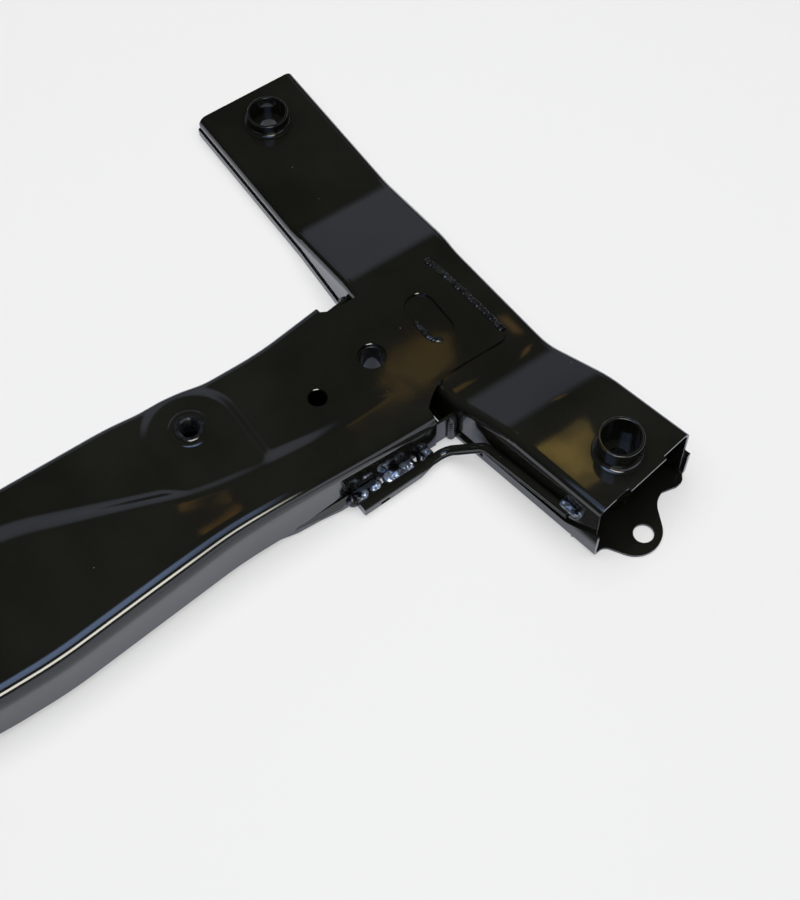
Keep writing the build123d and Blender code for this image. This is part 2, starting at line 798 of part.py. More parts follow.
crossmember = {
    "crossmember_upper_shell": crossmember_upper_shell,
    "crossmember_lower_shell": crossmember_lower_shell,
}
for name, piece in crossmember.items():
    piece.part.label = name
    export_step(piece.part, f"parts/{name}.step")

paired = {
    "rail_upper_shell": rail_upper_shell,
    "rail_lower_shell": rail_lower_shell,
    "front_mount_sleeve": front_mount_sleeve,
    "rear_mount_sleeve": rear_mount_sleeve,
    "threaded_insert": threaded_insert,
    "spacer_tube": spacer_tube,
    "brace_rod": brace_rod,
    "lap_weld": lap_weld,
    "slot_weld": slot_weld,
    "brace_weld": brace_weld,
    "brace_tip_weld": brace_tip_weld,
    "joint_weld": joint_weld,
}
for name, right in paired.items():
    right.part.label = f"{name}_right"
    export_step(right.part, f"parts/{name}_right.step")
    with BuildPart() as left:
        mirror(right.part, about=Plane.YZ)
    left.part.label = f"{name}_left"
    export_step(left.part, f"parts/{name}_left.step")
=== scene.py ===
import bmesh
import bpy
import json
import math
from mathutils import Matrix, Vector, noise

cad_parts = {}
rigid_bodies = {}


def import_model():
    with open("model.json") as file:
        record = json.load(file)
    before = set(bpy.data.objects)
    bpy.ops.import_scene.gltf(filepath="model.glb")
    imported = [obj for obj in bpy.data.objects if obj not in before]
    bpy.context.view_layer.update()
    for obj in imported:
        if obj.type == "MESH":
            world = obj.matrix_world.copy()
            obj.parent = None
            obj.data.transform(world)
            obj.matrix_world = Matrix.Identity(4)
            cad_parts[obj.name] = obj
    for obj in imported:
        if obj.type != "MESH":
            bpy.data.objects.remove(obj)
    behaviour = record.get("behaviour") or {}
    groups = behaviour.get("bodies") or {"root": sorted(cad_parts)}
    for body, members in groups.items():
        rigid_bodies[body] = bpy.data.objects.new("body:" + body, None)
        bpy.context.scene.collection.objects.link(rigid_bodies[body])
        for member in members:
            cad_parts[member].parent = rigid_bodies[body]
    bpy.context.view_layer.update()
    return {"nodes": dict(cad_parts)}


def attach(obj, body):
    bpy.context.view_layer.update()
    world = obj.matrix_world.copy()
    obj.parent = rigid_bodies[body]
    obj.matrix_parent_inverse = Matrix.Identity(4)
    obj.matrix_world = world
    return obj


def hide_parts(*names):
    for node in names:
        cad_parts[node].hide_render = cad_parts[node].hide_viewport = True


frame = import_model()
scene = bpy.context.scene
mm = 0.001
print("frame loaded")


class Wire:
    # a socket that adds Math nodes when it is used in a sum
    def __init__(self, finish, socket):
        self.finish = finish
        self.socket = socket

    def math(self, operation, other=None, swapped=False, clamp=False):
        node = self.finish.tree.nodes.new("ShaderNodeMath")
        node.operation = operation
        node.use_clamp = clamp
        mine, theirs = (1, 0) if swapped else (0, 1)
        self.finish.tree.links.new(self.socket, node.inputs[mine])
        if isinstance(other, Wire):
            self.finish.tree.links.new(other.socket, node.inputs[theirs])
        elif other is not None:
            node.inputs[theirs].default_value = other
        return Wire(self.finish, node.outputs[0])

    def __add__(self, other):
        return self.math("ADD", other)

    def __radd__(self, other):
        return self.math("ADD", other)

    def __sub__(self, other):
        return self.math("SUBTRACT", other)

    def __rsub__(self, other):
        return self.math("SUBTRACT", other, swapped=True)

    def __mul__(self, other):
        return self.math("MULTIPLY", other)

    def __rmul__(self, other):
        return self.math("MULTIPLY", other)

    def clamped(self):
        return self.math("ADD", 0.0, clamp=True)


class Finish:
    # a node tree with one way of adding a node
    def __init__(self, name, world=False):
        self.data = (bpy.data.worlds if world else bpy.data.materials).new(name)
        self.data.use_nodes = True
        self.tree = self.data.node_tree
        self.tree.nodes.clear()

    def node(self, kind, settings=None, sockets=None, out=0):
        node = self.tree.nodes.new(kind)
        for key, value in (settings or {}).items():
            if key == "stops":
                ramp = node.color_ramp
                while len(ramp.elements) < len(value):
                    ramp.elements.new(0.5)
                for element, (place, tone) in zip(ramp.elements, value):
                    element.position = place
                    element.color = (*tone, 1) if isinstance(tone, tuple) else (tone, tone, tone, 1)
            else:
                setattr(node, key, value)
        for key, value in (sockets or {}).items():
            if isinstance(value, Wire):
                self.tree.links.new(value.socket, node.inputs[key])
            else:
                node.inputs[key].default_value = value
        return Wire(self, node.outputs[out])

    def place(self):
        return self.node("ShaderNodeTexCoord", out="Object")

    def blend(self, share, low, high):
        return self.node("ShaderNodeMix", {"data_type": "RGBA"}, {
            "Factor": share, "A": low, "B": high}, out="Result")

    def grain(self, scale, detail=2.0, rough=0.5, where=None):
        return self.node("ShaderNodeTexNoise", None, {
            "Vector": where or self.place(), "Scale": scale, "Detail": detail, "Roughness": rough})

    def ramp(self, value, stops):
        return self.node("ShaderNodeValToRGB", {"stops": stops}, {"Fac": value})

    def surface(self, shader):
        output = self.tree.nodes.new("ShaderNodeOutputMaterial")
        self.tree.links.new(shader.socket, output.inputs["Surface"])
        return self.data


def rgb(red, green, blue):
    # screen colour to the linear colour that a shader takes
    def linear(value):
        value /= 255
        return value / 12.92 if value <= 0.04045 else ((value + 0.055) / 1.055) ** 2.4
    return (linear(red), linear(green), linear(blue), 1)


paintLook = {
    "deep": rgb(19, 19, 16),
    "lean": rgb(27, 27, 24),
    "dust": rgb(150, 150, 145),
    "rough": 0.055,
    "roughSpread": 0.05,
    "peelScale": 420,
    "peelHeight": 0.012,
    "waveScale": 22,
    "waveHeight": 0.35,
    "speckScale": 260,
    "cloud": [(0.35, 0.0), (0.7, 1.0)],
    "speckPick": [(0.993, 0.0), (0.998, 1.0)],
    "speckEdge": [(0.08, 1.0), (0.16, 0.0)],
    "speckTone": 0.3,
    "speckRough": 0.4,
    "index": 1.52,
}


def glossBlack():
    look = paintLook
    finish = Finish("glossBlackPaint")
    cloud = finish.grain(14, 3)
    patch = finish.grain(55, 4, 0.6)
    tone = finish.blend(finish.ramp(cloud, look["cloud"]), look["deep"], look["lean"])
    cells = finish.node("ShaderNodeTexVoronoi", {"feature": "F1"}, {
        "Vector": finish.place(), "Scale": look["speckScale"]})
    pick = finish.node("ShaderNodeTexVoronoi", {"feature": "F1"}, {
        "Vector": finish.place(), "Scale": look["speckScale"]}, out="Color")
    chance = finish.ramp(finish.node("ShaderNodeSeparateColor", None, {"Color": pick}), look["speckPick"])
    speck = finish.ramp(cells, look["speckEdge"]) * chance
    tone = finish.blend(speck * look["speckTone"], tone, look["dust"])
    rough = look["rough"] + patch * look["roughSpread"] + speck * look["speckRough"]
    wave = finish.grain(look["waveScale"], 1)
    waved = finish.node("ShaderNodeBump", None, {
        "Height": wave, "Strength": 0.5, "Distance": look["waveHeight"] * mm})
    peel = finish.grain(look["peelScale"], 1)
    bump = finish.node("ShaderNodeBump", None, {
        "Height": peel, "Strength": 0.5, "Distance": look["peelHeight"] * mm, "Normal": waved})
    return finish.surface(finish.node("ShaderNodeBsdfPrincipled", None, {
        "Base Color": tone, "Roughness": rough, "Normal": bump, "IOR": look["index"]}))


def weldPaint(name, deep, pale, metal, patches, bumps):
    finish = Finish(name)
    cloud = finish.grain(patches, 2)
    tone = finish.blend(finish.ramp(cloud, [(0.42, 0.0), (0.6, 1.0)]), deep, pale)
    scale = finish.grain(bumps, 2)
    bump = finish.node("ShaderNodeBump", None, {"Height": scale, "Strength": 0.3, "Distance": 0.06 * mm})
    return finish.surface(finish.node("ShaderNodeBsdfPrincipled", None, {
        "Base Color": tone, "Roughness": 0.12 + cloud * 0.14, "Metallic": metal, "Normal": bump, "IOR": 1.6}))


def threadSteel():
    finish = Finish("threadSteel")
    turning = finish.grain(500, 3)
    tone = finish.blend(finish.ramp(turning, [(0.3, 0.0), (0.75, 1.0)]), rgb(20, 20, 20), rgb(44, 46, 52))
    bump = finish.node("ShaderNodeBump", None, {"Height": turning, "Strength": 0.4, "Distance": 0.03 * mm})
    return finish.surface(finish.node("ShaderNodeBsdfPrincipled", None, {
        "Base Color": tone, "Roughness": 0.12 + turning * 0.15, "Metallic": 0.3, "Normal": bump, "IOR": 1.6}))


paint = glossBlack()
bead = weldPaint("paintedWeld", rgb(15, 15, 14), rgb(30, 31, 32), 0.0, 160, 500)
# brace and tip welds: pale blue-grey metal patches, partly a brighter weld surface and partly a painted sheen
# that stands in for their silvery glints
paleMetalAndSheenBead = weldPaint("paleMetalAndSheenWeld", rgb(18, 18, 18), rgb(150, 160, 178), 0.6, 75, 240)
steel = threadSteel()
print("finishes made")


def ease(value):
    value = min(1, max(0, value))
    return value * value * (3 - 2 * value)


def pieceFrom(name, form, material, slotName, *nodes):
    # a finished bmesh as an object that rides on the frame and stands for its CAD nodes
    mesh = bpy.data.meshes.new(name)
    form.to_mesh(mesh)
    form.free()
    piece = bpy.data.objects.new(name, mesh)
    scene.collection.objects.link(piece)
    mesh.materials.append(material)
    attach(piece, "root")
    if nodes:
        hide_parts(*nodes)
    return piece


def softenEdges(form, angle):
    for face in form.faces:
        face.smooth = True
    for edge in form.edges:
        turn = edge.calc_face_angle(None)
        edge.smooth = turn is not None and turn < math.radians(angle)


def cadForm(node):
    form = bmesh.new()
    form.from_mesh(frame["nodes"][node].data)
    bmesh.ops.remove_doubles(form, verts=form.verts, dist=0.002 * mm)
    return form


def cleanNormals(piece, width=0.35, angle=28):
    if width:
        edgeRound = piece.modifiers.new("edgeRound", "BEVEL")
        edgeRound.width = width * mm
        edgeRound.segments = 2
        edgeRound.limit_method = "ANGLE"
        edgeRound.angle_limit = math.radians(angle)
        edgeRound.use_clamp_overlap = True
    flat = piece.modifiers.new("flatFaces", "WEIGHTED_NORMAL")
    flat.mode = "FACE_AREA"
    flat.weight = 80
    flat.keep_sharp = True


# pieces whose solids have the right form: a merged copy with true shading and broken edges
plainPieces = {
    "rail_upper_shell": ("black_paint", paint, 0.35),
    "rail_lower_shell": ("black_paint", paint, 0.35),
    "front_mount_sleeve": ("bare_rim_steel", paint, 0.0),
    "rear_mount_sleeve": ("bare_rim_steel", paint, 0.0),
    "spacer_tube": ("black_paint", paint, 0.3),
    "brace_rod": ("black_paint", paint, 0.3),
}


def plainPiece(node, slotName, material, width):
    form = cadForm(node)
    bmesh.ops.dissolve_limit(form, angle_limit=math.radians(0.4), verts=form.verts, edges=form.edges)
    softenEdges(form, 30)
    piece = pieceFrom(node + "_sheet", form, material, slotName, node)
    cleanNormals(piece, width)
    return piece


for stem, (slotName, material, width) in plainPieces.items():
    for side in ("right", "left"):
        plainPiece(stem + "_" + side, slotName, material, width)


# the lower shell's lip under the near wall, pressed close to it
# each point of the line: x, inset from the wall's face, height of the rim
lip = {
    "line": [(176, 5.3, 4.0), (190, 4.0, 5.0), (202, 2.2, 6.2), (211, 0.4, 6.6), (216, -0.5, 8.2),
             (233, -1.2, 10.3), (250, -1.8, 12.0), (280.5, -1.8, 13.5)],
    "frontOf": -80,
    "margin": 3,
    "startSlack": 0.5,
    "wall": -95.5,
    "bend": 250.0,
    "cadInset": (5.3, -3.3),
    "outside": -0.3,
    "depth": 3.8,
    "innerFrom": 1,
    "squeeze": 0.45,
    "squeezeFrom": 190,
    "squeezeRun": 26,
    "rimFrom": 3.7,
    "slope": 1.1,
}


def hugWall(piece):
    # known fault: the wall's inner face is caught too, by one vertex a side at x 188, z 30
    form = bmesh.new()
    form.from_mesh(piece.data)
    line = lip["line"]
    start, end = line[0][0], line[-1][0]
    for side in (-1, 1):
        for x, _, _ in line[1:-1]:
            near = [face for face in form.faces if face.calc_center_median().y < lip["frontOf"] * mm
                    and min(side * vert.co.x for vert in face.verts) > (start - lip["margin"]) * mm
                    and max(side * vert.co.x for vert in face.verts) < (end + lip["margin"]) * mm]
            edges = {edge for face in near for edge in face.edges}
            verts = {vert for face in near for vert in face.verts}
            bmesh.ops.bisect_plane(form, geom=near + list(edges) + list(verts), dist=0.01 * mm,
                                   plane_co=Vector((side * x, 0, 0)) * mm, plane_no=(1, 0, 0))
    low, high = lip["cadInset"]
    touched = set()
    for vert in form.verts:
        along = abs(vert.co.x) / mm
        if not start - lip["startSlack"] < along < end:
            continue
        share = min(1, max(0, (along - start) / (lip["bend"] - start)))
        cad = low + (high - low) * share
        inward = vert.co.y / mm - lip["wall"] - cad
        if not lip["outside"] < inward < lip["depth"]:
            continue
        for (x0, inset0, rim0), (x1, inset1, rim1) in zip(line, line[1:]):
            if along <= x1 + 0.01:
                t = max(0, (along - x0) / (x1 - x0))
                inset, rim = inset0 + (inset1 - inset0) * t, rim0 + (rim1 - rim0) * t
                break
        tight = lip["squeeze"] * ease((along - lip["squeezeFrom"]) / lip["squeezeRun"])
        vert.co.y += (inset - cad - inward * tight) * mm
        if vert.co.z > lip["rimFrom"] * mm:
            vert.co.z = (rim + (lip["slope"] if inward > lip["innerFrom"] else 0)) * mm
        touched.update(vert.link_faces)
    bmesh.ops.triangulate(form, faces=[face for face in touched if len(face.verts) > 4])
    softenEdges(form, 30)
    form.to_mesh(piece.data)
    form.free()


# the lower rail shell's inner flange, pressed to the rail behind the cross member
# each point of the line: y, x of the flange's inner face
flange = {
    "line": [(24, 346.2), (105, 349.5), (252, 349.5)],
    "slack": 1,
    "floor": 2.2,
    "outside": -0.6,
    "reach": 4.0,
    "squeeze": 0.4,
    "rimFrom": 7.0,
    "rimOut": 1,
    "slope": 2.0,
}


def hugRail(piece):
    for vert in piece.data.vertices:
        x, y, z = vert.co / mm
        if y < flange["line"][0][0] - flange["slack"] or z < flange["floor"]:
            continue
        for (y0, x0), (y1, x1) in zip(flange["line"], flange["line"][1:]):
            if y <= y1 + flange["slack"]:
                face = x0 + (x1 - x0) * min(1, max(0, (y - y0) / (y1 - y0)))
                break
        out = face - abs(x)
        if not flange["outside"] < out < flange["reach"]:
            continue
        vert.co.x = math.copysign((face - out * flange["squeeze"]) * mm, x)
        if z > flange["rimFrom"] and out < flange["rimOut"]:
            vert.co.z += flange["slope"] * mm


for side in ("right", "left"):
    hugRail(bpy.data.objects["rail_lower_shell_" + side + "_sheet"])
hugWall(plainPiece("crossmember_lower_shell", "black_paint", paint, 0.35))
print("plain pieces made")


# the pressed top of the cross member, millimetres
pressing = {
    "thick": 2.3,
    "fold": 7.0,
    "nearFold": 10.0,
    "nearFoldGrow": 4.0,
    "nearFoldFrom": 100,
    "nearFoldTo": 260,
    "wallFoot": 7.0,
    "topLevel": 44.3,
    "wallEndNear": 335.0,
    "wallEndFar": 317.5,
    "nearWall": [(0, -110.5), (25, -110.5), (170, -95.5), (440, -95.5)],
    "nearRadius": 350,
    "farWall": [(0, 34), (140, 34), (214, 26), (262, 26), (317.5, 34), (440, 51.6)],
    "farRadius": 250,
    "stepFoot": [(0, 8), (35, 8), (165, -41), (255, -55), (350, -59), (440, -62.8)],
    "stepRadius": 160,
    "stepSlope": 0.577,
    "fieldRise": 6.7,
    "fadeStart": 185,
    "fadeEnd": 330,
    "stepSoft": 3.4,
    "stepSoftMiddle": 2.2,
    "middleFrom": 50,
    "middleRun": 90,
    "fadeGain": 3,
    "fadeLeast": 0.05,
    "joinSoft": 1.6,
    "padX": 187,
    "padY": -7,
    "padRadius": 38,
    "padRise": 4.5,
    "padSlope": 0.6,
    "padSoft": 3.0,
    "bossX": 186.5,
    "bossY": -5,
    "bossRadius": 14.35,
    "bossRise": 0.8,
    "lapRear": 23.5,
    "lapFront": -69.0,
    "lapOuter": [(407, 23.5), (413.5, -22), (417, -69)],
    "lapCorner": 5.0,
    "throatEnd": 370.0,
    "throatPower": 2.1,
    "farThroat": 7.5,
    "farOutset": 1.5,
    # x, y, radius, level, flare of the mouth, length of the straight side
    "holes": [(327, -26, 10.5, 44.3, 0.4, 0), (275.5, -33, 7, 44.3, 0.4, 0), (186.5, -5, 11, 49.6, 0.2, 0),
              (380.5, -22, 11.5, 44.3, 0.4, 23)],
    "bodyColumns": 228,
    "lapColumns": 32,
    "wallRows": 5,
    "foldRows": 9,
    "topRows": 58,
}


def blendedLine(points, radius, x):
    # height of a run of straight lines at x, with its corners rounded
    x = abs(x)
    corners = list(zip(points, points[1:], points[2:]))
    for (x0, y0), (x1, y1), (x2, y2) in corners:
        before = (y1 - y0) / (x1 - x0)
        after = (y2 - y1) / (x2 - x1)
        half = radius * abs(after - before) / 2
        if half and abs(x - x1) < half:
            return y1 + before * (x - x1) + (after - before) * (x - x1 + half) ** 2 / (4 * half)
    for (x0, y0), (x1, y1) in zip(points, points[1:]):
        if x <= x1:
            return y0 + (y1 - y0) * (x - x0) / (x1 - x0)
    return points[-1][1]


def softMin(a, b, soft):
    share = min(1, max(0, 0.5 + 0.5 * (b - a) / soft))
    return b + (a - b) * share - soft * share * (1 - share)


def softMax(a, b, soft):
    return -softMin(-a, -b, soft)


def topHeight(x, y):
    p = pressing
    along = abs(x)
    fade = 1 - ease((along - p["fadeStart"]) / (p["fadeEnd"] - p["fadeStart"]))
    rise = p["fieldRise"] * fade
    ramp = (blendedLine(p["stepFoot"], p["stepRadius"], x) - y) * p["stepSlope"]
    soft = p["stepSoft"] + p["stepSoftMiddle"] * (1 - ease((along - p["middleFrom"]) / p["middleRun"]))
    field = softMax(softMin(ramp, rise, soft), 0, soft * min(1, fade * p["fadeGain"] + p["fadeLeast"]))
    across = along - p["padX"]
    down = y - p["padY"]
    edge = math.hypot(across, down) if down > 0 else abs(across)
    slant = (p["padRadius"] - edge) * p["padSlope"]
    pad = softMax(softMin(slant, p["padRise"], p["padSoft"]), 0, p["padSoft"])
    return p["topLevel"] + softMax(field, pad, p["joinSoft"])


def outerArc(y):
    # the lap plate's outer edge: the circle through its three points
    (x0, y0), (x1, y1), (x2, y2) = pressing["lapOuter"]
    t = (y - y0) / (y2 - y0)
    middle = (y1 - y0) / (y2 - y0)
    bulge = (x1 - (x0 + (x2 - x0) * middle)) / (middle * (1 - middle))
    edge = x0 + (x2 - x0) * t + bulge * t * (1 - t)
    corner = pressing["lapFront"] + pressing["lapCorner"]
    if y < corner:
        edge -= pressing["lapCorner"] - math.sqrt(max(0, pressing["lapCorner"] ** 2 - (corner - y) ** 2))
    return edge


def lapNear(x):
    p = pressing
    share = min(1, max(0, (x - p["wallEndNear"]) / (p["throatEnd"] - p["wallEndNear"])))
    start = p["nearWall"][-1][1] + p["nearFold"]
    return start + (p["lapFront"] - start) * (1 - (1 - share) ** p["throatPower"])


def lapFar(x):
    p = pressing
    share = min(1, max(0, (x - p["wallEndFar"]) / p["farThroat"]))
    start = p["farWall"][-2][1] - p["fold"] + p["farOutset"]
    return start + (p["lapRear"] - start) * (1 - (1 - share) ** 2)


def nearFold(x):
    # the near fold is roundest at the middle and tightens towards the rails
    p = pressing
    share = min(1, max(0, (p["nearFoldTo"] - abs(x)) / (p["nearFoldTo"] - p["nearFoldFrom"])))
    return p["nearFold"] + p["nearFoldGrow"] * ease(share)


def sectionPoint(x, row):
    # a point of the channel's section at x: near wall, fold, top, fold, far wall
    p = pressing
    near = blendedLine(p["nearWall"], p["nearRadius"], x)
    far = blendedLine(p["farWall"], p["farRadius"], x)
    fold = p["fold"]
    bend = nearFold(x)
    slope = (topHeight(x, far - fold) - topHeight(x, far - fold + 0.5)) / 0.5
    lean = math.atan(max(0, slope))
    endY = far - fold + fold * math.sin(lean)
    walls, folds, tops = p["wallRows"], p["foldRows"], p["topRows"]
    if row <= walls:
        high = topHeight(x, near + bend) - bend
        return near, p["wallFoot"] + (high - p["wallFoot"]) * row / walls
    row -= walls
    if row <= folds:
        turn = math.pi / 2 * row / folds
        high = topHeight(x, near + bend) - bend
        return near + bend - bend * math.cos(turn), high + bend * math.sin(turn)
    row -= folds
    if row <= tops:
        y = near + bend + (endY - near - bend) * row / tops
        return y, topHeight(x, y)
    row -= tops
    centreZ = topHeight(x, endY) - fold * math.cos(lean)
    if row <= folds:
        turn = lean + (math.pi / 2 - lean) * row / folds
        return far - fold + fold * math.sin(turn), centreZ + fold * math.cos(turn)
    row -= folds
    return far, centreZ + (p["wallFoot"] - centreZ) * row / walls


def pressedPoint(column, row):
    p = pressing
    rows = 2 * (p["wallRows"] + p["foldRows"]) + p["topRows"]
    half = p["bodyColumns"] / 2
    steps = column - half - p["lapColumns"]
    side = -1 if steps < 0 else 1
    steps = abs(steps)
    edgeRows = p["wallRows"] + p["foldRows"]
    share = min(1, max(0, (row - edgeRows) / p["topRows"]))
    wallEnd = p["wallEndNear"] + (p["wallEndFar"] - p["wallEndNear"]) * share
    if steps <= half:
        x = wallEnd * steps / half
        y, z = sectionPoint(x, row)
        return side * x, y, z
    # beyond the walls: the flat lap plate
    t = (steps - half) / p["lapColumns"]
    y = p["lapFront"] + (p["lapRear"] - p["lapFront"]) * share
    for _ in range(4):
        x = wallEnd + (outerArc(y) - wallEnd) * t
        y = lapNear(x) + (lapFar(x) - lapNear(x)) * share
    level = topHeight(x, y)
    return side * x, y, level + (p["topLevel"] - level) * ease(t * 2.5)


punchSteps = 64


def bossDisc(form, side):
    # the raised ring round the nut, as a low disc with a rolled rim
    p = pressing
    level = p["topLevel"] + p["padRise"]
    radius = p["bossRadius"]
    profile = [(0, level - 1.2), (radius + 1.3, level - 1.2), (radius + 1.2, level - 0.02),
               (radius + 0.6, level + 0.2), (radius + 0.1, level + 0.55),
               (radius - 0.6, level + p["bossRise"]), (0, level + p["bossRise"])]
    verts = [form.verts.new(Vector((reach, 0, height)) * mm) for reach, height in profile]
    edges = [form.edges.new(pair) for pair in zip(verts, verts[1:])]
    bmesh.ops.spin(form, geom=verts + edges, cent=(0, 0, 0), axis=(0, 0, 1), angle=math.tau, steps=80,
                   use_merge=True, use_duplicate=False)
    bmesh.ops.remove_doubles(form, verts=form.verts, dist=0.001 * mm)
    turned = [vert for vert in form.verts if vert.co.xy.length < (radius + 2) * mm]
    bmesh.ops.translate(form, verts=turned, vec=Vector((side * p["bossX"], p["bossY"], 0)) * mm)


def punchHole(form, x, y, radius, top, chamfer, straight):
    # a round punch, or a long one with that much straight side, with a flared mouth
    flare = [(-9, 0), (-chamfer, 0), (0, chamfer), (6, chamfer)]
    rings = []
    for height, grow in flare:
        ring = []
        for step in range(punchSteps):
            turn = math.tau * (step + 0.5) / punchSteps
            reach = straight / 2 * (1 if math.sin(turn) > 0 else -1)
            across, along = (radius + grow) * math.cos(turn), (radius + grow) * math.sin(turn) + reach
            ring.append(form.verts.new(Vector((x + across, y + along, top + height)) * mm))
        rings.append([form.edges.new(pair) for pair in zip(ring, ring[1:] + ring[:1])])
    for lower, upper in zip(rings, rings[1:]):
        bmesh.ops.bridge_loops(form, edges=lower + upper)
    for ring in (rings[0], rings[-1]):
        bmesh.ops.contextual_create(form, geom=ring)


def pressedTop():
    p = pressing
    rows = 2 * (p["wallRows"] + p["foldRows"]) + p["topRows"]
    columns = p["bodyColumns"] + 2 * p["lapColumns"]
    form = bmesh.new()
    bmesh.ops.create_grid(form, x_segments=columns, y_segments=rows, size=1)
    places = {}
    for vert in form.verts:
        places[vert] = (round((vert.co.x + 1) / 2 * columns), round((vert.co.y + 1) / 2 * rows))
    edgeRows = p["wallRows"] + p["foldRows"]
    spare = []
    for face in form.faces:
        column = sum(places[vert][0] for vert in face.verts) / 4
        row = sum(places[vert][1] for vert in face.verts) / 4
        beyond = column < p["lapColumns"] or column > columns - p["lapColumns"]
        if beyond and not edgeRows < row < rows - edgeRows:
            spare.append(face)
    for vert, (column, row) in places.items():
        vert.co = Vector(pressedPoint(column, row)) * mm
    bmesh.ops.delete(form, geom=spare, context="FACES")
    bmesh.ops.recalc_face_normals(form, faces=form.faces)
    middle = min(form.faces, key=lambda face: face.calc_center_median().length)
    if middle.normal.z < 0:
        bmesh.ops.reverse_faces(form, faces=form.faces)
    piece = pieceFrom("crossmember_top", form, paint, "black_paint", "crossmember_upper_shell")
    skin = piece.modifiers.new("thickness", "SOLIDIFY")
    skin.thickness = p["thick"] * mm
    skin.offset = -1
    punches = bmesh.new()
    for side in (-1, 1):
        for x, *hole in p["holes"]:
            punchHole(punches, side * x, *hole)
    discs = bmesh.new()
    for side in (-1, 1):
        bossDisc(discs, side)
    helpers = []
    for name, helper, operation in (("bosses", discs, "UNION"), ("punches", punches, "DIFFERENCE")):
        bmesh.ops.recalc_face_normals(helper, faces=helper.faces)
        mesh = bpy.data.meshes.new(name)
        helper.to_mesh(mesh)
        helper.free()
        tool = bpy.data.objects.new(name, mesh)
        scene.collection.objects.link(tool)
        helpers.append(tool)
        cut = piece.modifiers.new(name, "BOOLEAN")
        cut.operation = operation
        cut.solver = "EXACT"
        cut.object = tool
    bpy.context.view_layer.update()
    shaped = bpy.data.meshes.new_from_object(piece.evaluated_get(bpy.context.evaluated_depsgraph_get()))
    piece.modifiers.clear()
    piece.data = shaped
    for tool in helpers:
        bpy.data.objects.remove(tool)
    form = bmesh.new()
    form.from_mesh(shaped)
    softenEdges(form, 30)
    form.to_mesh(shaped)
    form.free()
    cleanNormals(piece, 0)
    return piece


pressedTop()
print("pressed top made")


# threaded pad nut
nut = {
    "outer": 11.0,
    "bore": 7.0,
    "groove": 0.85,
    "crest": 0.3,
    "pitch": 2.0,
    "depth": 17.0,
    "rim": 50.5,
    "x": 186.5,
    "y": -5.0,
    "mouth": 1.2,
    "edge": 0.6,
}


def padNut(side):
    form = bmesh.new()
    low, high = nut["rim"] - nut["depth"], nut["rim"]
    profile = [(nut["bore"] + nut["groove"], low), (nut["outer"], low), (nut["outer"], high - nut["edge"]),
               (nut["outer"] - nut["edge"], high), (nut["bore"] + nut["mouth"], high)]
    level = high - nut["mouth"]
    while level > low + nut["pitch"]:
        profile += [(nut["bore"], level - nut["crest"]),
                    (nut["bore"] + nut["groove"], level - nut["pitch"] / 2)]
        level -= nut["pitch"]
    profile.append((nut["bore"], low + nut["crest"]))
    verts = [form.verts.new(Vector((radius, 0, height)) * mm) for radius, height in profile]
    edges = [form.edges.new(pair) for pair in zip(verts, verts[1:] + verts[:1])]
    bmesh.ops.spin(form, geom=verts + edges, cent=(0, 0, 0), axis=(0, 0, 1), angle=math.tau, steps=72,
                   use_merge=True, use_duplicate=False)
    bmesh.ops.remove_doubles(form, verts=form.verts, dist=0.001 * mm)
    bmesh.ops.recalc_face_normals(form, faces=form.faces)
    bmesh.ops.translate(form, verts=form.verts, vec=Vector((side * nut["x"], nut["y"], 0)) * mm)
    softenEdges(form, 25)
    name = "right" if side > 0 else "left"
    return pieceFrom("pad_nut_" + name, form, steel, "thread_steel", "threaded_insert_" + name)


for side in (-1, 1):
    padNut(side)
print("pad nuts made")


# weld beads: the solid's form, refined, with ripples along the run and random lumps
welds = {
    "lap_weld": {"along": (0, 1, 0), "step": 2.9, "ripple": 0.12, "lump": 0.6, "voxel": 0.42,
                 "finish": bead},
    "slot_weld": {"along": (0, 1, 0), "step": 2.4, "ripple": 0.12, "lump": 0.6, "voxel": 0.36,
                  "finish": bead},
    "brace_weld": {"along": (1, 0, 0), "step": 3.4, "ripple": 0.06, "lump": 1.2, "voxel": 0.42,
                   "finish": paleMetalAndSheenBead},
    "brace_tip_weld": {"along": (0, 1, 0), "step": 3.0, "ripple": 0.06, "lump": 1.1, "voxel": 0.36,
                       "finish": paleMetalAndSheenBead},
    "joint_weld": {"along": (0, 0, 1), "step": 2.6, "ripple": 0.2, "lump": 0.5, "voxel": 0.42,
                   "finish": bead},
}
beadForm = {
    "swayScale": 0.25,
    "sway": 1.6,
    "lumpScale": 0.2,
    "lumpShift": (3, 7, 1),
    "fineScale": 0.55,
    "fineShare": 0.3,
    "facingGain": 1.2,
    "facingLeast": 0.35,
}


